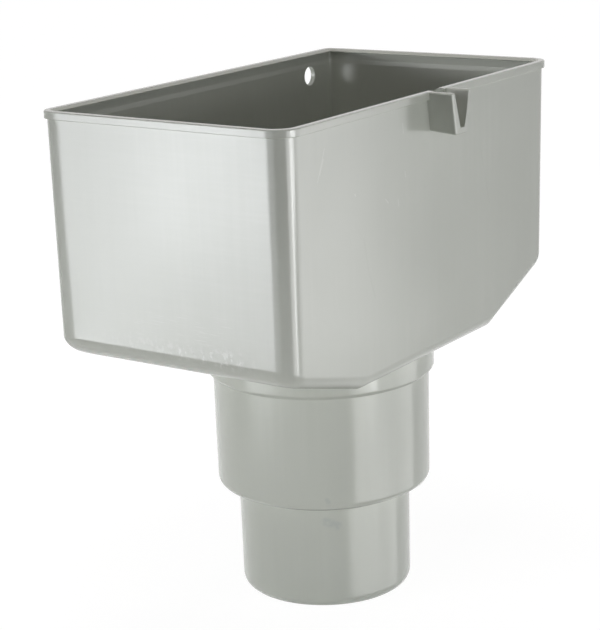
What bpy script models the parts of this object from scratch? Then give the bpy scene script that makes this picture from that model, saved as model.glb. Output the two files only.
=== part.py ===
"""Rainwater hopper head, moulded in one piece of PVC: an open tub with a funnel floor over a stepped outlet.

Metres, +Z up. The outlet's axis is the Z axis and its lower end stands at Z = 0. The long back of the tub,
which is screwed to the wall, looks towards +Y, and the strap channel is on the front, towards -Y.
"""

import math

import bmesh
import bpy

# Rim and tub
RIM_LENGTH = 0.2240
RIM_WIDTH = 0.1280
RIM_HEIGHT = 0.2350
TUB_SETBACK = 0.0014
WALL = 0.0028
CORNER_RADIUS = 0.0095
BACK_CORNER_RADIUS = 0.0025
END_DRAFT = 0.011
FRONT_DRAFT = 0.008

# Lip around the outside of the rim
LIP_OUT = 0.0013
LIP_HEIGHT = 0.0034
LIP_ROUND = 0.0006

# Funnel floor: flat in the middle, rising to both ends
FLOOR_HEIGHT = 0.1160
FLOOR_FLAT_HALF = 0.0556
FLOOR_END_RISE = 0.0157
FLOOR_FILLET = 0.0066

# Outlet: collar under the floor, wide spigot, rounded shoulder, narrow spigot
COLLAR_RADIUS = 0.0524
COLLAR_FOOT = 0.1050
WIDE_RADIUS = 0.0500
WIDE_TOP = 0.1030
SHOULDER_TOP = 0.0517
SHOULDER_FOOT = 0.0474
SHOULDER_ROUND = 0.0033
NARROW_RADIUS = 0.0400
OUTLET_DRAFT = 0.007
END_ROUND_OUT = 0.0027
END_ROUND_UP = 0.0042
OUTLET_WALL = 0.0035
MOUTH_ROUND = 0.0025

# Screw holes through the back wall
HOLE_RADIUS = 0.0046
HOLE_SPREAD = 0.0893
HOLE_DROP = 0.0115

# Strap channel on the front wall: two plates that close in downwards on a floor web
CHANNEL_X = 0.0043
CHANNEL_TOP_GAP = 0.0114
CHANNEL_FOOT_GAP = 0.0050
CHANNEL_PLATE = 0.0029
CHANNEL_OUT = 0.0126
CHANNEL_DEPTH = 0.0171
CHANNEL_WEB = 0.0019
CHANNEL_FOOT_DROP = 0.0013
CHANNEL_EDGE_ROUND = 0.0007
NOTCH_WIDTH = 0.0086
NOTCH_DEPTH = 0.0045

# How finely curves are cut into facets
OUTLET_STEPS = 96
CORNER_STEPS = 9
ROUND_STEPS = 4
FILLET_STEPS = 6
HOLE_STEPS = 32

# How far cutters run past the faces that they open
OVERRUN = 0.004


def clear_scene():
    for thing in list(bpy.data.objects):
        bpy.data.objects.remove(thing, do_unlink=True)


def make_material():
    material = bpy.data.materials.new("grey_pvc")
    material.use_nodes = True
    shader = material.node_tree.nodes["Principled BSDF"]
    shader.inputs["Base Color"].default_value = (0.47, 0.49, 0.45, 1.0)
    shader.inputs["Roughness"].default_value = 0.32
    shader.inputs["Metallic"].default_value = 0.0
    material.diffuse_color = (0.47, 0.49, 0.45, 1.0)
    return material


def object_from(bm, name):
    bmesh.ops.recalc_face_normals(bm, faces=bm.faces)
    mesh = bpy.data.meshes.new(name)
    bm.to_mesh(mesh)
    bm.free()
    thing = bpy.data.objects.new(name, mesh)
    bpy.context.scene.collection.objects.link(thing)
    return thing


def arc(centre, radii, start, end, steps):
    """Points on a quarter or part of an ellipse, in the plane of radius and height."""
    points = []
    for step in range(steps + 1):
        turn = start + (end - start) * step / steps
        points.append((centre[0] + radii[0] * math.cos(turn), centre[1] + radii[1] * math.sin(turn)))
    return points


class Skin:
    """One skin of the tub: the outside when inset is 0, the inside when inset is the wall."""

    def __init__(self, inset):
        self.inset = inset
        run = RIM_LENGTH / 2 - LIP_OUT - FLOOR_FLAT_HALF
        self.slope = FLOOR_END_RISE / run
        lean = math.atan(self.slope)
        self.seam = FLOOR_FLAT_HALF - inset * math.tan(lean / 2)
        self.floor = FLOOR_HEIGHT + inset
        self.fillet = max(FLOOR_FILLET - inset, 0.001)
        self.corner = max(CORNER_RADIUS - inset, 0.001)
        self.back_corner = max(BACK_CORNER_RADIUS - inset, 0.001)

    def floor_at(self, x):
        return self.floor + self.slope * max(abs(x) - self.seam, 0.0)

    def sides(self, z):
        """Half length, front and back of the skin at height z."""
        drop = RIM_HEIGHT - z
        half = RIM_LENGTH / 2 - LIP_OUT - self.inset - END_DRAFT * drop
        front = TUB_SETBACK - RIM_WIDTH / 2 + LIP_OUT + self.inset + FRONT_DRAFT * drop
        back = TUB_SETBACK + RIM_WIDTH / 2 - LIP_OUT - self.inset
        return half, front, back

    def stations(self):
        """The stops around one ring: seams on the long sides, and turns around the corners."""
        stops = [("seam", -1, -1), ("seam", 1, -1)]
        for corner, (sx, sy) in enumerate(((1, -1), (1, 1), (-1, 1), (-1, -1))):
            for step in range(CORNER_STEPS + 1):
                turn = math.radians(90) * (corner - 1 + step / CORNER_STEPS)
                stops.append(("turn", sx, sy, turn))
            if corner == 1:
                stops.extend((("seam", 1, 1), ("seam", -1, 1)))
        return stops

    def place(self, stop, z, out):
        half, front, back = self.sides(z)
        if stop[0] == "seam":
            return stop[1] * self.seam, (front - out if stop[2] < 0 else back + out)
        _, sx, sy, turn = stop
        if sy < 0:
            cx, cy = sx * (half - self.corner), front + self.corner
            reach = max(self.corner + out, 0.0003)
        else:
            # Tight corners keep their radius where the skin draws in, and move with it
            inwards = min(out, 0.0) - self.back_corner
            cx, cy = sx * (half + inwards), back + inwards
            reach = self.back_corner + max(out, 0.0)
        return cx + reach * math.cos(turn), cy + reach * math.sin(turn)

    def level_ring(self, z, out):
        return [(*self.place(stop, z, out), z) for stop in self.stations()]

    def floor_ring(self, turn):
        """Ring on the fillet between the walls and the floor, from turn 0 at the wall to 90 degrees."""
        out = self.fillet * (math.cos(turn) - 1)
        lift = self.fillet * (1 - math.sin(turn))
        ring = []
        for stop in self.stations():
            z = self.floor + lift
            for _ in range(4):
                x, y = self.place(stop, z, out)
                z = self.floor_at(x) + lift
            ring.append((x, y, z))
        return ring


def tub_solid(name, skin, rim):
    """Closed solid inside one skin. rim lists (out, height) from the top down to the straight walls."""
    rings = [skin.level_ring(z, out) for out, z in rim]
    for step in range(FILLET_STEPS + 1):
        rings.append(skin.floor_ring(math.radians(90) * step / FILLET_STEPS))
    bm = bmesh.new()
    loops = [[bm.verts.new(point) for point in ring] for ring in rings]
    count = len(loops[0])
    for upper, lower in zip(loops, loops[1:]):
        for i in range(count):
            j = (i + 1) % count
            bm.faces.new((upper[i], lower[i], lower[j], upper[j]))
    bm.faces.new(loops[0])
    last = loops[-1]
    right = 2 * (CORNER_STEPS + 1)
    middle = (last[0], last[1], last[2 + right], last[3 + right])
    bm.faces.new(middle)
    bm.faces.new(last[1:3 + right])
    bm.faces.new(last[3 + right:] + [last[0]])
    return object_from(bm, name)


def turned_solid(name, profile):
    """Solid of revolution around Z from (radius, height) points that run from axis to axis."""
    bm = bmesh.new()
    previous = None
    for radius, z in profile:
        if radius == 0:
            ring = [bm.verts.new((0, 0, z))]
        else:
            ring = []
            for step in range(OUTLET_STEPS):
                turn = 2 * math.pi * step / OUTLET_STEPS
                ring.append(bm.verts.new((radius * math.cos(turn), radius * math.sin(turn), z)))
        if previous is not None:
            if len(previous) == 1:
                bm.faces.new(ring)
            elif len(ring) == 1:
                bm.faces.new(previous)
            else:
                for i in range(OUTLET_STEPS):
                    j = (i + 1) % OUTLET_STEPS
                    bm.faces.new((previous[i], previous[j], ring[j], ring[i]))
        previous = ring
    loose = [vert for vert in bm.verts if not vert.link_faces]
    bmesh.ops.delete(bm, geom=loose, context="VERTS")
    return object_from(bm, name)


def wide_radius(z):
    return WIDE_RADIUS - OUTLET_DRAFT * (WIDE_TOP - z)


def narrow_radius(z):
    return NARROW_RADIUS - OUTLET_DRAFT * (SHOULDER_FOOT - z)


def rounded_shoulder(upper, corner, lower, radius):
    """Arc that rounds the corner between two straight runs of a turned profile."""
    up = (upper[0] - corner[0], upper[1] - corner[1])
    down = (lower[0] - corner[0], lower[1] - corner[1])
    up_length = math.hypot(*up)
    down_length = math.hypot(*down)
    up = (up[0] / up_length, up[1] / up_length)
    down = (down[0] / down_length, down[1] / down_length)
    angle = math.acos(up[0] * down[0] + up[1] * down[1])
    cut = min(radius / math.tan(angle / 2), 0.9 * down_length, 0.9 * up_length)
    radius = cut * math.tan(angle / 2)
    start = (corner[0] + up[0] * cut, corner[1] + up[1] * cut)
    middle = (up[0] + down[0], up[1] + down[1])
    scale = radius / math.sin(angle / 2) / math.hypot(*middle)
    centre = (corner[0] + middle[0] * scale, corner[1] + middle[1] * scale)
    first = math.atan2(start[1] - centre[1], start[0] - centre[0])
    return arc(centre, (radius, radius), first, first - (math.pi - angle), ROUND_STEPS + 1)


def outlet_solid():
    """Outside of the outlet, from within the floor down to its rounded end."""
    collar_top = FLOOR_HEIGHT + WALL / 2
    end_radius = narrow_radius(END_ROUND_UP)
    shoulder = rounded_shoulder((wide_radius(WIDE_TOP), WIDE_TOP), (wide_radius(SHOULDER_TOP), SHOULDER_TOP),
                                (NARROW_RADIUS, SHOULDER_FOOT), SHOULDER_ROUND)
    profile = [(0, collar_top), (COLLAR_RADIUS, collar_top), (COLLAR_RADIUS, COLLAR_FOOT)]
    profile.append((WIDE_RADIUS, WIDE_TOP))
    profile.extend(shoulder)
    profile.append((NARROW_RADIUS, SHOULDER_FOOT))
    profile.extend(arc((end_radius - END_ROUND_OUT, END_ROUND_UP), (END_ROUND_OUT, END_ROUND_UP),
                       0, -math.radians(90), ROUND_STEPS + 2))
    profile.append((0, 0))
    return turned_solid("outlet", profile)


def bore_solid():
    """The water way: a rounded mouth in the floor, the wide bore, a cone and the narrow bore."""
    floor = FLOOR_HEIGHT + WALL
    wide = WIDE_RADIUS - OUTLET_WALL
    narrow = narrow_radius(0) - OUTLET_WALL
    lean = math.atan2(wide_radius(SHOULDER_TOP) - NARROW_RADIUS, SHOULDER_TOP - SHOULDER_FOOT)
    lift = OUTLET_WALL * math.tan(lean / 2)
    cone_foot = SHOULDER_FOOT + lift
    cone_top = SHOULDER_TOP + lift
    profile = [(0, floor + OVERRUN), (wide + MOUTH_ROUND, floor + OVERRUN)]
    profile.extend(arc((wide + MOUTH_ROUND, floor - MOUTH_ROUND), (MOUTH_ROUND, MOUTH_ROUND),
                       math.radians(90), math.radians(180), ROUND_STEPS))
    profile.append((wide_radius(cone_top) - OUTLET_WALL, cone_top))
    profile.append((narrow + OUTLET_DRAFT * cone_foot, cone_foot))
    profile.append((narrow, 0))
    profile.append((narrow, -OVERRUN))
    profile.append((0, -OVERRUN))
    return turned_solid("water_way", profile)


def cavity_rim():
    """Rounded inner edge of the rim, opening above it."""
    rim = [(LIP_ROUND, RIM_HEIGHT + OVERRUN)]
    rim.extend((LIP_ROUND + out, z) for out, z in arc((0, RIM_HEIGHT - LIP_ROUND), (LIP_ROUND, LIP_ROUND),
                                                       math.radians(90), math.radians(180), ROUND_STEPS))
    return rim


def lip_rim():
    """Rounded outer edge of the rim, the lip and the step under it."""
    rim = arc((LIP_OUT - LIP_ROUND, RIM_HEIGHT - LIP_ROUND), (LIP_ROUND, LIP_ROUND), math.radians(90), 0,
              ROUND_STEPS)
    rim.append((LIP_OUT, RIM_HEIGHT - LIP_HEIGHT))
    rim.append((0, RIM_HEIGHT - LIP_HEIGHT))
    return rim


def front_face(z):
    return TUB_SETBACK - RIM_WIDTH / 2 + LIP_OUT + FRONT_DRAFT * (RIM_HEIGHT - z)


def back_face():
    return TUB_SETBACK + RIM_WIDTH / 2 - LIP_OUT


def channel_solid():
    """Strap channel: its section in X and Z, drawn out from inside the front wall."""
    foot = RIM_HEIGHT - CHANNEL_DEPTH
    web = foot + CHANNEL_WEB
    top_in = CHANNEL_TOP_GAP / 2
    top_out = top_in + CHANNEL_PLATE
    foot_in = CHANNEL_FOOT_GAP / 2
    foot_out = foot_in + CHANNEL_PLATE
    section = ((-top_out, RIM_HEIGHT), (-foot_out, foot), (foot_out, foot), (top_out, RIM_HEIGHT),
               (top_in, RIM_HEIGHT), (foot_in, web), (-foot_in, web), (-top_in, RIM_HEIGHT))
    root = front_face(foot) + WALL / 2
    end = front_face(RIM_HEIGHT) - CHANNEL_OUT
    bm = bmesh.new()
    near = [bm.verts.new((CHANNEL_X + x, end, z)) for x, z in section]
    far = [bm.verts.new((CHANNEL_X + x, root, z)) for x, z in section]
    for vert in near[1:3] + near[5:7]:
        vert.co.z -= CHANNEL_FOOT_DROP
    front = bm.faces.new(near)
    bm.faces.new(list(reversed(far)))
    for i in range(len(section)):
        j = (i + 1) % len(section)
        bm.faces.new((near[j], near[i], far[i], far[j]))
    bmesh.ops.bevel(bm, geom=list(front.edges), offset=CHANNEL_EDGE_ROUND, segments=2, profile=0.5,
                    affect="EDGES", clamp_overlap=True)
    return object_from(bm, "strap_channel")


def box_solid(name, low, high):
    bm = bmesh.new()
    bmesh.ops.create_cube(bm, size=1.0)
    for vert in bm.verts:
        for axis in range(3):
            vert.co[axis] = high[axis] if vert.co[axis] > 0 else low[axis]
    return object_from(bm, name)


def notch_solid():
    """Cut through the lip and the top of the front wall, between the plates of the channel."""
    face = front_face(RIM_HEIGHT)
    return box_solid("rim_notch",
                     (CHANNEL_X - NOTCH_WIDTH / 2, face - LIP_OUT - OVERRUN, RIM_HEIGHT - NOTCH_DEPTH),
                     (CHANNEL_X + NOTCH_WIDTH / 2, face + WALL + OVERRUN, RIM_HEIGHT + OVERRUN))


def hole_solid(side):
    """Round screw hole through the back wall."""
    bm = bmesh.new()
    bmesh.ops.create_cone(bm, cap_ends=True, segments=HOLE_STEPS, radius1=HOLE_RADIUS, radius2=HOLE_RADIUS,
                          depth=WALL + 2 * OVERRUN)
    middle = back_face() - WALL / 2
    for vert in bm.verts:
        x, y, z = vert.co
        vert.co = (side * HOLE_SPREAD + x, middle + z, RIM_HEIGHT - HOLE_DROP - y)
    return object_from(bm, "screw_hole_" + ("right" if side > 0 else "left"))


def combine(body, tools):
    """Run the joins and cuts in order, and keep the finished mesh on the body."""
    for operation, tool in tools:
        tool.hide_render = True
        tool.display_type = "WIRE"
        step = body.modifiers.new(tool.name, "BOOLEAN")
        step.operation = operation
        step.object = tool
    bpy.context.view_layer.update()
    finished = bpy.data.meshes.new_from_object(body.evaluated_get(bpy.context.evaluated_depsgraph_get()))
    body.modifiers.clear()
    body.data = finished
    for _, tool in tools:
        bpy.data.objects.remove(tool, do_unlink=True)
    finished.shade_smooth()
    finished.set_sharp_from_angle(angle=math.radians(28))


def build():
    clear_scene()
    body = tub_solid("hopper_head", Skin(0.0), lip_rim())
    combine(body, (
        ("UNION", outlet_solid()),
        ("UNION", channel_solid()),
        ("DIFFERENCE", tub_solid("tub_inside", Skin(WALL), cavity_rim())),
        ("DIFFERENCE", bore_solid()),
        ("DIFFERENCE", notch_solid()),
        ("DIFFERENCE", hole_solid(1)),
        ("DIFFERENCE", hole_solid(-1)),
    ))
    body.data.materials.clear()
    body.data.materials.append(make_material())


build()
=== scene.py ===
"""Looks for the rainwater hopper head: its finely rounded PVC shell, its material, light and camera."""
import math

import bmesh
import bpy
from mathutils import Euler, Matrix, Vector

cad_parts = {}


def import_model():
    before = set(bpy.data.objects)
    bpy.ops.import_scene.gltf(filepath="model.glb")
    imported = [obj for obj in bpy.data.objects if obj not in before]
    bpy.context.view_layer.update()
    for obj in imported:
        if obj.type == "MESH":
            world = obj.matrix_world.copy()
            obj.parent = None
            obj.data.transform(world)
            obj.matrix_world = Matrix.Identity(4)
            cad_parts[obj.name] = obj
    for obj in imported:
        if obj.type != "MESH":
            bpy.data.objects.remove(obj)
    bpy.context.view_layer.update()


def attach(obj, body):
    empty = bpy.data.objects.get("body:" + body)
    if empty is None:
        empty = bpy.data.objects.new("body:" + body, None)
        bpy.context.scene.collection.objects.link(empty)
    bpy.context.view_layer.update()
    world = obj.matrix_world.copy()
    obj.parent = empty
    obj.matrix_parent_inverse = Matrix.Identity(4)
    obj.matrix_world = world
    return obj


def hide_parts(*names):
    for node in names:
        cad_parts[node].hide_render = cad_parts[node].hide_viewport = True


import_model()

# The same sizes as the solids, in metres
RIM_LENGTH = 0.2240
RIM_WIDTH = 0.1280
RIM_HEIGHT = 0.2350
TUB_SETBACK = 0.0014
WALL = 0.0028
CORNER_RADIUS = 0.0095
BACK_CORNER_RADIUS = 0.0025
END_DRAFT = 0.011
FRONT_DRAFT = 0.008
LIP_OUT = 0.0013
LIP_HEIGHT = 0.0034
LIP_ROUND = 0.0006
FLOOR_HEIGHT = 0.1160
FLOOR_FLAT_HALF = 0.0556
FLOOR_END_RISE = 0.0157
FLOOR_FILLET = 0.0066
COLLAR_RADIUS = 0.0524
COLLAR_FOOT = 0.1050
WIDE_RADIUS = 0.0500
WIDE_TOP = 0.1030
SHOULDER_TOP = 0.0517
SHOULDER_FOOT = 0.0474
SHOULDER_ROUND = 0.0033
NARROW_RADIUS = 0.0400
OUTLET_DRAFT = 0.007
END_ROUND_OUT = 0.0027
END_ROUND_UP = 0.0042
OUTLET_WALL = 0.0035
MOUTH_ROUND = 0.0025
HOLE_RADIUS = 0.0046
HOLE_SPREAD = 0.0893
HOLE_DROP = 0.0115
CHANNEL_X = 0.0043
CHANNEL_TOP_GAP = 0.0114
CHANNEL_FOOT_GAP = 0.0050
CHANNEL_PLATE = 0.0029
CHANNEL_OUT = 0.0126
CHANNEL_DEPTH = 0.0171
CHANNEL_WEB = 0.0019
CHANNEL_FOOT_DROP = 0.0013
NOTCH_WIDTH = 0.0086
NOTCH_DEPTH = 0.0045

# Where the moulding is uneven: the near end wall (-X) is askew, and the floor climbs more at the far end
NEAR_BACK_RADIUS = 0.0060
END_SKEW = 0.0020
FAR_SEAM_IN = 0.0012
FAR_END_RISE = 0.0219

# The gentle bend of the end walls before the back corners
BEND_RADIUS = 0.035
BEND_TURN = math.radians(10)

# The edge of the opening: sloped, then a bead, then a shallow groove
EDGE_OUT = 0.0012
EDGE_ROUND = 0.0002
BEAD_IN = 0.0005
BEAD_HEIGHT = 0.0011
BEAD_ROUND = 0.0003
BEAD_FOOT_ROUND = 0.0001
GROOVE = 0.0002
GROOVE_FOOT = 0.0050
GROOVE_FOOT_ROUND = 0.002
GROOVE_END = 0.0072
GROOVE_END_ROUND = 0.004

# Small roundings that only the eye needs
LIP_FOOT_ROUND = 0.0003
LIP_FILLET = 0.0002
COLLAR_ROUND = 0.0010
SPIGOT_ROUND = 0.0006
BORE_ROUND = 0.0015
BORE_END_CHAMFER = 0.0004
CHANNEL_ROUND = 0.0009
NOTCH_ROUND = 0.0006
HOLE_ROUND = 0.0005

# The least radius of an inside corner, and of a corner where the fillet draws it in
LEAST_CORNER = 0.001
LEAST_REACH = 0.0003

# How far a cutter passes the surface that it cuts, and how far the rim's profile runs on below the groove
OVERRUN = 0.004
RIM_RUN = 0.002

# The most of a profile's straight stretch that one rounding may take
STRETCH_SHARE = 0.48

# How finely curves are cut. Roundings above LARGE_ROUND get LARGE_ROUND_STEPS
OUTLET_STEPS = 192
CORNER_STEPS = 18
ROUND_STEPS = 5
LARGE_ROUND_STEPS = 7
LARGE_ROUND = 0.002
FILLET_STEPS = 12
HOLE_STEPS = 48
HOLE_EDGE_STEPS = 4
BEVEL_STEPS = 4
MOUTH_STEPS = 8
OUTLET_END_STEPS = 9

# Faces that meet at more than this are shaded with a sharp edge, and large faces keep their own normal
SHARP_ANGLE = math.radians(35)
FLAT_WEIGHT = 60


def object_from(bm, name):
    bmesh.ops.recalc_face_normals(bm, faces=bm.faces)
    mesh = bpy.data.meshes.new(name)
    bm.to_mesh(mesh)
    bm.free()
    thing = bpy.data.objects.new(name, mesh)
    bpy.context.scene.collection.objects.link(thing)
    return thing


def arc(centre, radii, start, end, steps):
    points = []
    for step in range(steps + 1):
        turn = math.radians(start + (end - start) * step / steps)
        points.append((centre[0] + radii[0] * math.cos(turn), centre[1] + radii[1] * math.sin(turn)))
    return points


class Skin:
    """One skin of the tub: the outside when inset is 0, the inside when inset is the wall."""

    def __init__(self, inset):
        """The floor has a slope and a seam of its own at the far end, where it climbs a little more."""
        self.inset = inset
        run = RIM_LENGTH / 2 - LIP_OUT - FLOOR_FLAT_HALF
        self.slope = FLOOR_END_RISE / run
        self.seam = FLOOR_FLAT_HALF - inset * math.tan(math.atan(self.slope) / 2)
        self.floor = FLOOR_HEIGHT + inset
        self.fillet = FLOOR_FILLET - inset
        self.corner = CORNER_RADIUS - inset
        self.near_corner = max(NEAR_BACK_RADIUS - inset, LEAST_CORNER)
        self.far_corner = max(BACK_CORNER_RADIUS - inset, LEAST_CORNER)
        self.far_seam = self.seam - FAR_SEAM_IN
        self.far_slope = FAR_END_RISE / (run + FAR_SEAM_IN)

    def floor_at(self, x):
        if x > 0:
            return self.floor + self.far_slope * max(x - self.far_seam, 0.0)
        return self.floor + self.slope * max(-x - self.seam, 0.0)

    def sides(self, z):
        """Half the length, and the y of the front and the back, at one height."""
        drop = RIM_HEIGHT - z
        half = RIM_LENGTH / 2 - LIP_OUT - self.inset - END_DRAFT * drop
        front = TUB_SETBACK - RIM_WIDTH / 2 + LIP_OUT + self.inset + FRONT_DRAFT * drop
        back = TUB_SETBACK + RIM_WIDTH / 2 - LIP_OUT - self.inset
        return half, front, back

    def stations(self):
        """The stops of one ring: the ends of the floor's flat middle, and the steps of the four corners."""
        stops = [("seam", -1, -1), ("seam", 1, -1)]
        for corner, (sx, sy) in enumerate(((1, -1), (1, 1), (-1, 1), (-1, -1))):
            for step in range(CORNER_STEPS + 1):
                turn = math.radians(90) * (corner - 1 + step / CORNER_STEPS)
                stops.append(("turn", sx, sy, turn))
            if corner == 1:
                stops.extend((("seam", 1, 1), ("seam", -1, 1)))
        return stops

    def place(self, stop, z, out):
        """The x and y of one stop at height z, moved outwards by out."""
        half, front, back = self.sides(z)
        if stop[0] == "seam":
            x = self.far_seam if stop[1] > 0 else -self.seam
            return x, (front - out if stop[2] < 0 else back + out)
        _, sx, sy, turn = stop
        if sy < 0:
            cx, cy = sx * (half - self.corner), front + self.corner
            reach = max(self.corner + out, LEAST_REACH)
            x, y = cx + reach * math.cos(turn), cy + reach * math.sin(turn)
        else:
            # Tight corners keep their radius where the skin draws in, and move with it
            tight = self.far_corner if sx > 0 else self.near_corner
            in_x, in_y = self.back_turn(tight, math.acos(min(abs(math.cos(turn)), 1.0)), max(out, 0.0))
            x, y = sx * (half + min(out, 0.0) - in_x), back + min(out, 0.0) - in_y
        if sx < 0:
            # The near end wall stands slightly askew
            x += END_SKEW * min(max((y - front) / (back - front), 0.0), 1.0)
        return x, y

    def back_turn(self, tight, turn, out):
        """How far in a point of a back corner lies. Outside, the end wall bends gently before the corner."""
        if self.inset:
            return tight - (tight + out) * math.cos(turn), tight - (tight + out) * math.sin(turn)
        start = (BEND_RADIUS - tight) * math.sin(BEND_TURN) + tight
        if turn < BEND_TURN:
            reach = BEND_RADIUS + out
            return BEND_RADIUS - reach * math.cos(turn), start - reach * math.sin(turn)
        cx = BEND_RADIUS - (BEND_RADIUS - tight) * math.cos(BEND_TURN)
        return cx - (tight + out) * math.cos(turn), tight - (tight + out) * math.sin(turn)

    def level_ring(self, z, out):
        return [(*self.place(stop, z, out), z) for stop in self.stations()]

    def floor_ring(self, turn):
        """A ring on the fillet between wall and floor. Its height follows x, so it is found in rounds."""
        out = self.fillet * (math.cos(turn) - 1)
        lift = self.fillet * (1 - math.sin(turn))
        ring = []
        for stop in self.stations():
            z = self.floor + lift
            for _ in range(4):
                x, y = self.place(stop, z, out)
                z = self.floor_at(x) + lift
            ring.append((x, y, z))
        return ring


def tub_solid(name, skin, rim):
    """A closed solid of one skin: rings from the rim down the wall and fillet, then top and floor faces."""
    rings = [skin.level_ring(z, out) for out, z in rim]
    for step in range(FILLET_STEPS + 1):
        rings.append(skin.floor_ring(math.radians(90) * step / FILLET_STEPS))
    bm = bmesh.new()
    loops = [[bm.verts.new(point) for point in ring] for ring in rings]
    count = len(loops[0])
    for upper, lower in zip(loops, loops[1:]):
        for i in range(count):
            j = (i + 1) % count
            bm.faces.new((upper[i], lower[i], lower[j], upper[j]))
    bm.faces.new(loops[0])
    last = loops[-1]
    right = 2 * (CORNER_STEPS + 1)
    bm.faces.new((last[0], last[1], last[2 + right], last[3 + right]))
    bm.faces.new(last[1:3 + right])
    bm.faces.new(last[3 + right:] + [last[0]])
    return object_from(bm, name)


def turned_solid(name, profile, steps=OUTLET_STEPS):
    """A profile of (radius, z) points turned about the Z axis."""
    bm = bmesh.new()
    previous = None
    for radius, z in profile:
        if radius == 0:
            ring = [bm.verts.new((0, 0, z))]
        else:
            ring = []
            for step in range(steps):
                turn = 2 * math.pi * step / steps
                ring.append(bm.verts.new((radius * math.cos(turn), radius * math.sin(turn), z)))
        if previous is not None:
            if len(previous) == 1:
                bm.faces.new(ring)
            elif len(ring) == 1:
                bm.faces.new(previous)
            else:
                for i in range(steps):
                    j = (i + 1) % steps
                    bm.faces.new((previous[i], previous[j], ring[j], ring[i]))
        previous = ring
    loose = [vert for vert in bm.verts if not vert.link_faces]
    bmesh.ops.delete(bm, geom=loose, context="VERTS")
    return object_from(bm, name)


def wide_radius(z):
    return WIDE_RADIUS - OUTLET_DRAFT * (WIDE_TOP - z)


def narrow_radius(z):
    return NARROW_RADIUS - OUTLET_DRAFT * (SHOULDER_FOOT - z)


def rounded(before, corner, after, radius, steps):
    """Points of the arc that rounds one corner of a profile, hollow or proud."""
    up = Vector((before[0] - corner[0], before[1] - corner[1]))
    down = Vector((after[0] - corner[0], after[1] - corner[1]))
    long_up, long_down = up.length, down.length
    up.normalize()
    down.normalize()
    angle = up.angle(down)
    cut = min(radius / math.tan(angle / 2), STRETCH_SHARE * long_down, STRETCH_SHARE * long_up)
    radius = cut * math.tan(angle / 2)
    here = Vector(corner)
    start, end = here + up * cut, here + down * cut
    centre = here + (up + down).normalized() * (radius / math.sin(angle / 2))
    first, last = start - centre, end - centre
    points = []
    for step in range(steps + 1):
        blend = step / steps
        spread = math.pi - angle
        a = math.sin((1 - blend) * spread) / math.sin(spread)
        b = math.sin(blend * spread) / math.sin(spread)
        points.append(tuple(centre + first * a + last * b))
    return points


def rounded_profile(points, radii):
    """A profile whose inner corners are rounded, each by its own radius; radius 0 keeps it sharp."""
    out = [points[0]]
    for i in range(1, len(points) - 1):
        if radii[i]:
            steps = LARGE_ROUND_STEPS if radii[i] > LARGE_ROUND else ROUND_STEPS
            out.extend(rounded(points[i - 1], points[i], points[i + 1], radii[i], steps))
        else:
            out.append(points[i])
    out.append(points[-1])
    return out


def outlet_solid():
    collar_top = FLOOR_HEIGHT + WALL / 2
    end_radius = narrow_radius(END_ROUND_UP)
    points = [(0, collar_top), (COLLAR_RADIUS, collar_top), (COLLAR_RADIUS, COLLAR_FOOT),
              (WIDE_RADIUS, WIDE_TOP), (wide_radius(SHOULDER_TOP), SHOULDER_TOP),
              (NARROW_RADIUS, SHOULDER_FOOT), (end_radius, END_ROUND_UP)]
    rounds = [0, 0, COLLAR_ROUND, SPIGOT_ROUND, SHOULDER_ROUND, SPIGOT_ROUND, 0]
    profile = rounded_profile(points, rounds)[:-1]
    profile.extend(arc((end_radius - END_ROUND_OUT, END_ROUND_UP), (END_ROUND_OUT, END_ROUND_UP),
                       0, -90, OUTLET_END_STEPS))
    profile.append((0, 0))
    return turned_solid("outlet", profile)


def bore_solid():
    floor = FLOOR_HEIGHT + WALL
    wide = WIDE_RADIUS - OUTLET_WALL
    narrow = narrow_radius(0) - OUTLET_WALL
    lean = math.atan2(wide_radius(SHOULDER_TOP) - NARROW_RADIUS, SHOULDER_TOP - SHOULDER_FOOT)
    lift = OUTLET_WALL * math.tan(lean / 2)
    cone_foot, cone_top = SHOULDER_FOOT + lift, SHOULDER_TOP + lift
    profile = [(0, floor + OVERRUN), (wide + MOUTH_ROUND, floor + OVERRUN)]
    profile.extend(arc((wide + MOUTH_ROUND, floor - MOUTH_ROUND), (MOUTH_ROUND, MOUTH_ROUND),
                       90, 180, MOUTH_STEPS))
    points = [profile[-1], (wide_radius(cone_top) - OUTLET_WALL, cone_top),
              (narrow + OUTLET_DRAFT * cone_foot, cone_foot), (narrow, BORE_END_CHAMFER)]
    profile.extend(rounded_profile(points, [0, BORE_ROUND, BORE_ROUND, 0])[1:])
    flared = narrow + BORE_END_CHAMFER
    profile.extend(((flared, 0), (flared, -OVERRUN), (0, -OVERRUN)))
    return turned_solid("water_way", profile)


def cavity_rim():
    """The opening's edge: sloped, then a bead that stands in, and a shallow groove under it."""
    foot = RIM_HEIGHT - BEAD_HEIGHT
    points = [(EDGE_OUT, RIM_HEIGHT + OVERRUN), (EDGE_OUT, RIM_HEIGHT), (-BEAD_IN, foot),
              (-BEAD_IN, foot - BEAD_IN / 2), (GROOVE, foot - BEAD_IN), (GROOVE, RIM_HEIGHT - GROOVE_FOOT),
              (0, RIM_HEIGHT - GROOVE_END), (0, RIM_HEIGHT - GROOVE_END - RIM_RUN)]
    rounds = [0, EDGE_ROUND, BEAD_ROUND, BEAD_FOOT_ROUND, BEAD_FOOT_ROUND, GROOVE_FOOT_ROUND,
              GROOVE_END_ROUND, 0]
    return rounded_profile(points, rounds)


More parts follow.
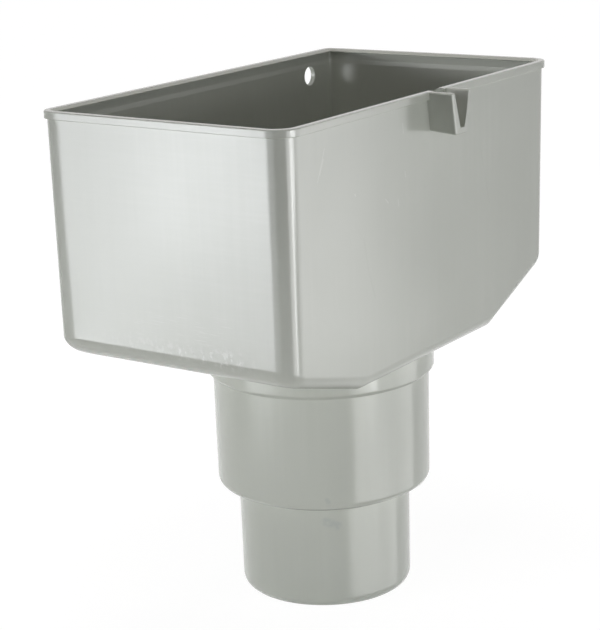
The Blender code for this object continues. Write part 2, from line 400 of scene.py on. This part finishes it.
def lip_rim():
    """The lip's outline, from its top edge down to the wall."""
    foot = RIM_HEIGHT - LIP_HEIGHT
    rim = arc((LIP_OUT - LIP_ROUND, RIM_HEIGHT - LIP_ROUND), (LIP_ROUND, LIP_ROUND), 90, 0, ROUND_STEPS)
    rim.extend(arc((LIP_OUT - LIP_FOOT_ROUND, foot + LIP_FOOT_ROUND), (LIP_FOOT_ROUND, LIP_FOOT_ROUND),
                   0, -90, ROUND_STEPS))
    rim.extend(arc((LIP_FILLET, foot - LIP_FILLET), (LIP_FILLET, LIP_FILLET), 90, 180, ROUND_STEPS))
    return rim


def front_face(z):
    return TUB_SETBACK - RIM_WIDTH / 2 + LIP_OUT + FRONT_DRAFT * (RIM_HEIGHT - z)


def back_face():
    return TUB_SETBACK + RIM_WIDTH / 2 - LIP_OUT


def channel_solid():
    """The strap channel: two leaning plates on a web, with its long edges and its front rounded."""
    foot = RIM_HEIGHT - CHANNEL_DEPTH
    web = foot + CHANNEL_WEB
    top_in = CHANNEL_TOP_GAP / 2
    top_out = top_in + CHANNEL_PLATE
    foot_in = CHANNEL_FOOT_GAP / 2
    foot_out = foot_in + CHANNEL_PLATE
    section = ((-top_out, RIM_HEIGHT), (-foot_out, foot), (foot_out, foot), (top_out, RIM_HEIGHT),
               (top_in, RIM_HEIGHT), (foot_in, web), (-foot_in, web), (-top_in, RIM_HEIGHT))
    root = front_face(foot) + WALL / 2
    end = front_face(RIM_HEIGHT) - CHANNEL_OUT
    bm = bmesh.new()
    near = [bm.verts.new((CHANNEL_X + x, end, z)) for x, z in section]
    far = [bm.verts.new((CHANNEL_X + x, root, z)) for x, z in section]
    for vert in near[1:3] + near[5:7]:
        vert.co.z -= CHANNEL_FOOT_DROP
    front = bm.faces.new(near)
    bm.faces.new(list(reversed(far)))
    long_edges = []
    for i in range(len(section)):
        j = (i + 1) % len(section)
        face = bm.faces.new((near[j], near[i], far[i], far[j]))
        long_edges.extend(edge for edge in face.edges if set(edge.verts) == {near[i], far[i]})
    edges = list(front.edges) + long_edges
    bmesh.ops.bevel(bm, geom=edges, offset=CHANNEL_ROUND, segments=BEVEL_STEPS, profile=0.5,
                    affect="EDGES", clamp_overlap=True)
    return object_from(bm, "strap_channel")


def notch_solid():
    """Cutter for the notch in the rim behind the strap channel."""
    face = front_face(RIM_HEIGHT)
    low = (CHANNEL_X - NOTCH_WIDTH / 2, face - LIP_OUT - OVERRUN, RIM_HEIGHT - NOTCH_DEPTH)
    high = (CHANNEL_X + NOTCH_WIDTH / 2, face + WALL + OVERRUN, RIM_HEIGHT + OVERRUN)
    bm = bmesh.new()
    bmesh.ops.create_cube(bm, size=1.0)
    for vert in bm.verts:
        for axis in range(3):
            vert.co[axis] = high[axis] if vert.co[axis] > 0 else low[axis]
    lower = [edge for edge in bm.edges if all(vert.co.z < RIM_HEIGHT - NOTCH_DEPTH / 2 for vert in edge.verts)
             and abs(edge.verts[0].co.y - edge.verts[1].co.y) > WALL]
    bmesh.ops.bevel(bm, geom=lower, offset=NOTCH_ROUND, segments=BEVEL_STEPS, profile=0.5, affect="EDGES")
    return object_from(bm, "rim_notch")


def hole_solid(side):
    """Round cutter whose ends flare, so that the screw hole gets rounded edges."""
    half = WALL / 2
    profile = [(0, half + OVERRUN), (HOLE_RADIUS + HOLE_ROUND, half + OVERRUN)]
    for height, start in ((half - HOLE_ROUND, 90), (HOLE_ROUND - half, 180)):
        profile.extend(arc((HOLE_RADIUS + HOLE_ROUND, height), (HOLE_ROUND, HOLE_ROUND),
                           start, start + 90, HOLE_EDGE_STEPS))
    profile.extend(((HOLE_RADIUS + HOLE_ROUND, -half - OVERRUN), (0, -half - OVERRUN)))
    hole = turned_solid("screw_hole", profile, HOLE_STEPS)
    middle = back_face() - half
    for vert in hole.data.vertices:
        x, y, z = vert.co
        vert.co = (side * HOLE_SPREAD + x, middle + z, RIM_HEIGHT - HOLE_DROP - y)
    return hole


def shell():
    """The whole moulding: joins and cuts in order, then flat faces kept flat in the shading."""
    body = tub_solid("hopper_shell", Skin(0.0), lip_rim())
    tools = (("UNION", outlet_solid()), ("UNION", channel_solid()),
             ("DIFFERENCE", tub_solid("tub_inside", Skin(WALL), cavity_rim())),
             ("DIFFERENCE", bore_solid()), ("DIFFERENCE", notch_solid()),
             ("DIFFERENCE", hole_solid(1)), ("DIFFERENCE", hole_solid(-1)))
    for operation, tool in tools:
        step = body.modifiers.new(tool.name, "BOOLEAN")
        step.operation = operation
        step.object = tool
    bpy.context.view_layer.update()
    finished = bpy.data.meshes.new_from_object(body.evaluated_get(bpy.context.evaluated_depsgraph_get()))
    body.modifiers.clear()
    body.data = finished
    for _, tool in tools:
        bpy.data.objects.remove(tool, do_unlink=True)
    finished.shade_smooth()
    finished.set_sharp_from_angle(angle=SHARP_ANGLE)
    flat = body.modifiers.new("flat_faces", "WEIGHTED_NORMAL")
    flat.mode = "FACE_AREA"
    flat.weight = FLAT_WEIGHT
    flat.keep_sharp = True
    return body


# Camera, fitted to the photograph's outlines
CAMERA_PLACE = (-0.674431, -0.455145, 0.349734)
CAMERA_TURN = (74.768, 1.872, -55.871)
CAMERA_LENS = 104.606


def camera():
    data = bpy.data.cameras.new("camera")
    data.sensor_width = 36.0
    data.lens = CAMERA_LENS
    data.clip_start = 0.01
    data.clip_end = 50.0
    thing = bpy.data.objects.new("camera", data)
    thing.location = CAMERA_PLACE
    thing.rotation_euler = Euler([math.radians(a) for a in CAMERA_TURN], "XYZ")
    bpy.context.scene.collection.objects.link(thing)
    bpy.context.scene.camera = thing
    return thing


class Graph:
    """Adds nodes to one material and links them."""

    def __init__(self, tree):
        self.tree = tree

    def node(self, kind, inputs=(), **settings):
        node = self.tree.nodes.new(kind)
        for key, value in settings.items():
            setattr(node, key, value)
        for key, value in dict(inputs).items():
            if isinstance(value, bpy.types.NodeSocket):
                self.tree.links.new(value, node.inputs[key])
            else:
                node.inputs[key].default_value = value
        return node

    def math(self, operation, a, b=0.0, clamp=False):
        return self.node("ShaderNodeMath", {0: a, 1: b}, operation=operation, use_clamp=clamp).outputs[0]

    def vector(self, operation, a, b=(0, 0, 0)):
        node = self.node("ShaderNodeVectorMath", {0: a, 1: b}, operation=operation)
        return node.outputs["Value" if operation in ("DOT_PRODUCT", "LENGTH", "DISTANCE") else "Vector"]

    def scaled(self, place, factors):
        return self.vector("MULTIPLY", place, factors)

    def noise(self, place, scale, detail=3.0, roughness=0.5):
        return self.node("ShaderNodeTexNoise", {"Vector": place, "Scale": scale, "Detail": detail,
                                                "Roughness": roughness}).outputs["Fac"]

    def span(self, value, low, high, start=0.0, end=1.0):
        """value from low to high becomes start to end, smoothly and no further."""
        return self.node("ShaderNodeMapRange", {"Value": value, "From Min": low, "From Max": high,
                                                "To Min": start, "To Max": end},
                         interpolation_type="SMOOTHSTEP").outputs[0]

    def band(self, value, low, high, soft):
        """1 between low and high, falling to 0 over soft on both sides."""
        rise = self.span(value, low - soft, low + soft)
        fall = self.span(value, high - soft, high + soft, 1.0, 0.0)
        return self.math("MULTIPLY", rise, fall)

    def both(self, *values):
        out = values[0]
        for value in values[1:]:
            out = self.math("MULTIPLY", out, value)
        return out

    def most(self, *values):
        out = values[0]
        for value in values[1:]:
            out = self.math("MAXIMUM", out, value)
        return out

    def stroke(self, place, start, end, width):
        """1 on a straight scratch from start to end, 0 beyond its width."""
        start, end = Vector(start), Vector(end)
        along = end - start
        offset = self.vector("SUBTRACT", place, tuple(start))
        reach = self.vector("DOT_PRODUCT", offset, tuple(along))
        share = self.math("DIVIDE", reach, along.length_squared, True)
        nearest = self.node("ShaderNodeVectorMath", {0: tuple(along), "Scale": share}, operation="SCALE")
        away = self.vector("DISTANCE", offset, nearest.outputs["Vector"])
        return self.span(away, width * 0.3, width, 1.0, 0.0)

    def blend(self, share, a, b):
        node = self.node("ShaderNodeMix", {"Factor": share, 6: a, 7: b}, data_type="RGBA")
        return node.outputs[2]


# Colours of the surface
PVC_COLOUR = (0.479, 0.503, 0.456, 1.0)
PVC_PALE = (0.62, 0.645, 0.60, 1.0)
PVC_DEEP = (0.40, 0.415, 0.37, 1.0)
SCUFF_COLOUR = (0.72, 0.74, 0.72, 1.0)
NICK_COLOUR = (0.13, 0.09, 0.05, 1.0)
SMEAR_COLOUR = (0.33, 0.36, 0.37, 1.0)

# Satin gloss: roughness at its least and most, and what rubbing and the inside add to it
GLOSS_LEAST = 0.150
GLOSS_MOST = 0.185
GLOSS_GRAIN = 0.03
GLOSS_RUBBED = 0.25
GLOSS_INSIDE = 0.17
PVC_IOR = 1.6

# Height of the moulding's slow waves, and depth of the marks in it, in metres
WAVE_DEPTH = 0.00005
MARK_DEPTH = 0.00004


def on_front(marks):
    """Start, end and width of marks on the long front wall, from their x and z."""
    for (x0, z0), (x1, z1), width in marks:
        yield (x0, front_face(z0), z0), (x1, front_face(z1), z1), width


# Light scratches on the front wall, and faint long trails that are a little darker than it
FRONT_SCRATCHES = (
    ((-0.0835, 0.2238), (-0.0889, 0.2112), 0.00032),
    ((-0.0846, 0.2196), (-0.0872, 0.2140), 0.0005),
    ((-0.0384, 0.1950), (-0.0362, 0.1930), 0.0004),
    ((-0.0285, 0.1931), (-0.0278, 0.1902), 0.0004),
    ((-0.0619, 0.2014), (-0.0616, 0.2008), 0.0006),
    ((-0.0241, 0.2245), (-0.0235, 0.2205), 0.0004),
    ((-0.0226, 0.2040), (-0.0220, 0.2015), 0.0004),
)
FRONT_TRAILS = (
    ((-0.0556, 0.1812), (-0.0521, 0.1660), 0.0007),
    ((-0.0521, 0.1660), (-0.0476, 0.1550), 0.0007),
    ((0.0440, 0.2020), (0.0520, 0.1760), 0.0006),
)

# The same for smears on the outlet and a small nick in the back rim, with their y
OUTLET_SMEARS = (
    ((-0.0405, -0.0285, 0.0560), (-0.0390, -0.0310, 0.0500), 0.0016),
    ((-0.0330, -0.0225, 0.0420), (-0.0300, -0.0265, 0.0400), 0.0030),
)
RIM_NICKS = (((-0.0530, 0.0640, 0.2350), (-0.0510, 0.0635, 0.2350), 0.0011),)


# Where the near end wall is worn, in metres: from and to, and how softly the worn parts end
END_WALL_X = (-0.1105, -0.1075)
SCUFF_Z = (0.1335, 0.1425)
SCUFF_Y = (-0.036, 0.042)
RUBBED_Z = (0.143, 0.156)
RUBBED_Y = (-0.030, 0.035)
WORN_SOFT_Z = 0.004
WORN_SOFT_Y = 0.012

# Inside the front wall y passes from the first to the second
INSIDE_FRONT_Y = (-0.0612, -0.0604)


def strokes(g, place, marks):
    return g.most(*(g.stroke(place, *mark) for mark in marks))


def end_wall_wear(g, place):
    """Wear on the near end wall: pale scuffs and dark smudges at its foot, and faint lines across it."""
    x, y, z = g.node("ShaderNodeSeparateXYZ", {0: place}).outputs
    end_wall = g.span(x, *END_WALL_X, 1.0, 0.0)
    low = g.both(end_wall, g.band(z, *SCUFF_Z, WORN_SOFT_Z), g.band(y, *SCUFF_Y, WORN_SOFT_Y))
    flecks = g.span(g.noise(g.scaled(place, (1.0, 420.0, 300.0)), 1.0, 4.0, 0.6), 0.48, 0.66)
    rubbed = g.both(end_wall, g.band(z, *RUBBED_Z, WORN_SOFT_Z), g.band(y, *RUBBED_Y, WORN_SOFT_Y),
                    g.span(g.noise(g.scaled(place, (1.0, 90.0, 1500.0)), 1.0, 3.0, 0.5), 0.58, 0.7))
    scuffs = g.math("ADD", g.both(low, flecks), g.math("MULTIPLY", rubbed, 0.45), True)
    smudges = g.both(low, g.span(g.noise(g.scaled(place, (1.0, 260.0, 420.0)), 1.0, 3.0, 0.6), 0.50, 0.36))
    across = g.both(end_wall, g.span(g.noise(g.scaled(place, (1.0, 26.0, 520.0)), 1.0, 2.0), 0.4, 0.68))
    return scuffs, smudges, across


def hairlines(g, place):
    """Fine faint scratches everywhere: some lean, some lie level, in worn patches."""
    tilted = g.node("ShaderNodeVectorRotate", {"Vector": place, "Angle": 0.5}, rotation_type="Y_AXIS")
    leaning = g.span(g.noise(g.scaled(tilted.outputs[0], (2200.0, 2200.0, 24.0)), 1.0, 2.0), 0.70, 0.78)
    level = g.span(g.noise(g.scaled(place, (40.0, 40.0, 2600.0)), 1.0, 2.0), 0.72, 0.8)
    worn = g.span(g.noise(place, 22.0, 2.0), 0.45, 0.7)
    return g.both(g.most(leaning, level), worn)


def moulded_colour(g, place, drift):
    """Slow drift of the moulded colour, and flow streaks that run down the walls."""
    flow = g.noise(g.scaled(place, (260.0, 260.0, 9.0)), 1.0, 3.0, 0.6)
    tone = g.math("ADD", g.span(drift, 0.3, 0.7, -0.35, 0.35), g.span(flow, 0.25, 0.75, -0.2, 0.2))
    colour = g.blend(g.span(tone, 0.0, 1.0, 0.0, 0.22), PVC_COLOUR, PVC_PALE)
    return g.blend(g.span(tone, -1.0, 0.0, 0.25, 0.0), colour, PVC_DEEP)


def inside_share(g, place):
    """1 on the inside walls of the tub and the bore, which face the Z axis, and 0 outside."""
    y = g.node("ShaderNodeSeparateXYZ", {0: place}).outputs[1]
    facing = g.node("ShaderNodeTexCoord").outputs["Normal"]
    inwards = g.vector("DOT_PRODUCT", g.scaled(place, (1.0, 1.0, 0.0)), facing)
    behind_front = g.span(y, *INSIDE_FRONT_Y)
    return g.both(g.span(inwards, -0.012, -0.004, 1.0, 0.0), behind_front)


def pvc():
    """Grey PVC with a satin gloss, a little uneven in colour, with wear, scratches, smears and one nick."""
    material = bpy.data.materials.new("grey_pvc_fine")
    material.use_nodes = True
    shader = material.node_tree.nodes["Principled BSDF"]
    g = Graph(material.node_tree)
    place = g.node("ShaderNodeTexCoord").outputs["Object"]
    drift = g.noise(place, 16.0, 2.0)
    scuffs, smudges, across = end_wall_wear(g, place)
    hair = hairlines(g, place)
    scratches = strokes(g, place, on_front(FRONT_SCRATCHES))
    trails = strokes(g, place, on_front(FRONT_TRAILS))
    pale = g.math("ADD", g.math("MULTIPLY", scuffs, 0.90), g.math("MULTIPLY", scratches, 0.24), True)
    pale = g.math("ADD", pale, g.math("MULTIPLY", hair, 0.08), True)
    pale = g.math("ADD", pale, g.math("MULTIPLY", across, 0.04), True)
    smear = g.both(strokes(g, place, OUTLET_SMEARS), g.span(g.noise(place, 420.0, 3.0), 0.35, 0.6))
    nick = g.both(strokes(g, place, RIM_NICKS), g.span(g.noise(place, 900.0, 2.0), 0.3, 0.5))
    colour = g.blend(pale, moulded_colour(g, place, drift), SCUFF_COLOUR)
    colour = g.blend(g.math("MULTIPLY", trails, 0.16), colour, PVC_DEEP)
    colour = g.blend(g.math("MULTIPLY", smudges, 0.80), colour, PVC_DEEP)
    colour = g.blend(g.math("MULTIPLY", smear, 0.35), colour, SMEAR_COLOUR)
    colour = g.blend(g.math("MULTIPLY", nick, 0.85), colour, NICK_COLOUR)
    material.node_tree.links.new(colour, shader.inputs["Base Color"])
    gloss = g.math("ADD", g.span(drift, 0.3, 0.7, GLOSS_LEAST, GLOSS_MOST),
                   g.math("MULTIPLY", pale, GLOSS_RUBBED))
    gloss = g.math("ADD", gloss, g.span(g.noise(place, 60.0, 3.0), 0.3, 0.7, 0.0, GLOSS_GRAIN))
    gloss = g.math("ADD", gloss, g.math("MULTIPLY", inside_share(g, place), GLOSS_INSIDE))
    material.node_tree.links.new(gloss, shader.inputs["Roughness"])
    wave = g.noise(g.scaled(place, (24.0, 24.0, 16.0)), 1.0, 1.0)
    wavy = g.node("ShaderNodeBump", {"Height": wave, "Strength": 1.0, "Distance": WAVE_DEPTH})
    worn_in = g.most(g.math("MULTIPLY", scratches, 0.5), scuffs, smudges)
    cut = g.math("SUBTRACT", 0.0, g.math("ADD", worn_in, g.math("MULTIPLY", hair, 0.3)))
    fine = g.node("ShaderNodeBump", {"Height": cut, "Strength": 0.5, "Distance": MARK_DEPTH,
                                     "Normal": wavy.outputs[0]})
    material.node_tree.links.new(fine.outputs[0], shader.inputs["Normal"])
    shader.inputs["IOR"].default_value = PVC_IOR
    return material


# The studio stands around this point, low in the middle of the tub
CENTRE = Vector((0.0, 0.0, 0.16))

# Colours of the lamps
WHITE = (1.0, 1.0, 1.0)
WARM = (1.0, 0.93, 0.91)
COOL = (0.955, 0.975, 1.0)

# Panels that the satin surface mirrors. Azimuth from and to (from +X towards +Y), elevation from and to,
# level, colour
PANELS = {
    "side_edge": (132.2, 136.2, -12, 12, 5.0, COOL),
    "side_high": (136.2, 142.2, -12, 12, 5.9, COOL),
    "side_low": (136.2, 142.2, -19, -12, 6.6, COOL),
    "side_middle_low": (142.2, 148.2, -19, -12, 5.0, COOL),
    "side_middle": (142.2, 148.2, -12, 12, 10.4, COOL),
    "side_near": (148.2, 162.2, -19, 12, 5.4, COOL),
    "side_fade": (162.2, 188.2, -19, 12, 1.6, COOL),
    "front_strip": (244, 262, -19, 12, 4.0, WHITE),
    "front_bright": (262, 269, -19, 12, 12.0, WHITE),
    "front_far": (269, 284, -11, 12, 9.0, WHITE),
    "front_foot": (246, 290, -34, -19, 2.4, WHITE),
    "front_wide": (290, 324, -19, 12, 2.6, WHITE),
    "front_wide_low": (290, 324, -34, -19, 1.6, WHITE),
}
PANEL_DISTANCE = 1.1
FULL_SPREAD = 180

# Soft lamps that light the surface: place, aim, width, height, spread in degrees, level, colour
SOFT_LAMPS = {
    "overhead": ((0.0, 0.0, 1.0), (0.0, 0.0, 0.16), 0.5, 0.5, 180, 3.9, WARM),
    "over_the_rim": ((-0.91, 0.61, 0.295), (0.1, -0.07, 0.23), 0.4, 0.06, 120, 20.0, WHITE),
    "front_soft": ((0.07, -0.797, 0.16), (0.0, 0.0, 0.16), 0.4, 0.4, 180, 3.1, WHITE),
    "front_key": ((-0.12, -0.55, 0.30), (-0.09, 0.0, 0.16), 0.3, 0.3, 120, 0.6, WHITE),
    "outlet_side": ((-0.5, 0.15, 0.03), (0.0, 0.0, 0.04), 0.2, 0.06, 60, 1.4, WHITE),
    "outlet_front": ((-0.35, -0.35, 0.03), (0.0, 0.0, 0.04), 0.2, 0.06, 60, 1.0, WHITE),
    "back_fill": ((0.25, 1.0, 0.10), (0.0, 0.0, 0.12), 0.8, 0.4, 180, 3.1, WHITE),
    "end_fill": ((1.0, -0.1, 0.10), (0.0, 0.0, 0.12), 0.5, 0.4, 180, 3.1, WHITE),
}


def lamp(name, place, aim, width, height, spread, level, colour, mirrored):
    """A soft rectangle of light. Mirrored ones show in the gloss, the others light the surface."""
    data = bpy.data.lights.new(name, "AREA")
    data.shape = "RECTANGLE"
    data.size = width
    data.size_y = height
    data.spread = math.radians(spread)
    data.energy = level * math.pi * width * height
    data.color = colour
    thing = bpy.data.objects.new(name, data)
    thing.location = place
    thing.rotation_euler = (Vector(place) - Vector(aim)).to_track_quat("Z", "Y").to_euler()
    thing.visible_camera = False
    thing.visible_transmission = False
    thing.visible_diffuse = not mirrored
    thing.visible_glossy = mirrored
    bpy.context.scene.collection.objects.link(thing)


def lights():
    for name, (start, end, low, high, level, colour) in PANELS.items():
        turn, rise = math.radians(start + end) / 2, math.radians(low + high) / 2
        away = Vector((math.cos(rise) * math.cos(turn), math.cos(rise) * math.sin(turn), math.sin(rise)))
        width = 2 * PANEL_DISTANCE * math.tan(math.radians(end - start) / 2) * math.cos(rise)
        height = 2 * PANEL_DISTANCE * math.tan(math.radians(high - low) / 2)
        place = CENTRE + PANEL_DISTANCE * away
        lamp(name, place, CENTRE, width, height, FULL_SPREAD, level, colour, True)
    for name, settings in SOFT_LAMPS.items():
        lamp(name, *settings, False)


def white_in_view(tree, seen, lit, socket):
    """Camera, glossy and transmission rays get the first shader, all others the second."""
    path = tree.nodes.new("ShaderNodeLightPath")
    first = tree.nodes.new("ShaderNodeMath")
    first.operation = "MAXIMUM"
    tree.links.new(path.outputs["Is Camera Ray"], first.inputs[0])
    tree.links.new(path.outputs["Is Glossy Ray"], first.inputs[1])
    second = tree.nodes.new("ShaderNodeMath")
    second.operation = "MAXIMUM"
    tree.links.new(first.outputs[0], second.inputs[0])
    tree.links.new(path.outputs["Is Transmission Ray"], second.inputs[1])
    mix = tree.nodes.new("ShaderNodeMixShader")
    tree.links.new(second.outputs[0], mix.inputs["Fac"])
    tree.links.new(lit, mix.inputs[1])
    tree.links.new(seen, mix.inputs[2])
    tree.links.new(mix.outputs[0], socket)


# The table: half its side, its drop below the object, its colours, and its glow, which from the first to
# the second distance from the middle rises from its near level to 1: a painted shade, the glow dimmed around
# the object's foot
FLOOR_HALF = 6.0
FLOOR_DROP = 0.0004
FLOOR_PALE = (0.85, 0.85, 0.85, 1)
SHADOW_SHEET = (0.1, 0.1, 0.1, 1)
PAINTED_SHADE_GLOW = 0.955
PAINTED_SHADE_DISTANCES = (0.1, 0.3)

# What lights the object from all around
DIM_WORLD = (0.02, 0.02, 0.02, 1)


def floor():
    """A pale table. In view it is white, by its own glow and a thin sheet that takes the object's shadow;
    near the object's foot the glow is dimmed, a painted shade.
    """
    bm = bmesh.new()
    bmesh.ops.create_grid(bm, x_segments=8, y_segments=8, size=FLOOR_HALF)
    thing = object_from(bm, "studio_floor")
    thing.location.z = -FLOOR_DROP
    material = bpy.data.materials.new("studio_floor")
    material.use_nodes = True
    tree = material.node_tree
    tree.nodes.clear()
    g = Graph(tree)
    out = g.node("ShaderNodeOutputMaterial")
    pale = g.node("ShaderNodeBsdfDiffuse", {"Color": FLOOR_PALE})
    distance_for_painted_shade = g.vector("LENGTH", g.node("ShaderNodeNewGeometry").outputs["Position"])
    # The glow is dimmed near the middle: a painted shade around the object's foot
    glow = g.node("ShaderNodeEmission", {"Strength": g.span(distance_for_painted_shade, *PAINTED_SHADE_DISTANCES, PAINTED_SHADE_GLOW, 1.0)})
    sheet = g.node("ShaderNodeBsdfDiffuse", {"Color": SHADOW_SHEET})
    table = g.node("ShaderNodeAddShader", {0: glow.outputs[0], 1: sheet.outputs[0]})
    white_in_view(tree, table.outputs[0], pale.outputs[0], out.inputs["Surface"])
    thing.data.materials.append(material)
    # Lamps and panels below the table shine through it
    thing.visible_shadow = False
    thing.visible_glossy = False
    return thing


def world():
    back = bpy.data.worlds.new("studio")
    bpy.context.scene.world = back
    back.use_nodes = True
    tree = back.node_tree
    tree.nodes.clear()
    g = Graph(tree)
    out = g.node("ShaderNodeOutputWorld")
    white = g.node("ShaderNodeBackground", {"Color": (1, 1, 1, 1)})
    dim = g.node("ShaderNodeBackground", {"Color": DIM_WORLD})
    white_in_view(tree, white.outputs[0], dim.outputs[0], out.inputs["Surface"])


camera()
body = shell()
body.data.materials.clear()
body.data.materials.append(pvc())
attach(body, "root")
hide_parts("hopper_head")
floor()
world()
lights()

bpy.context.scene.view_settings.view_transform = "Standard"
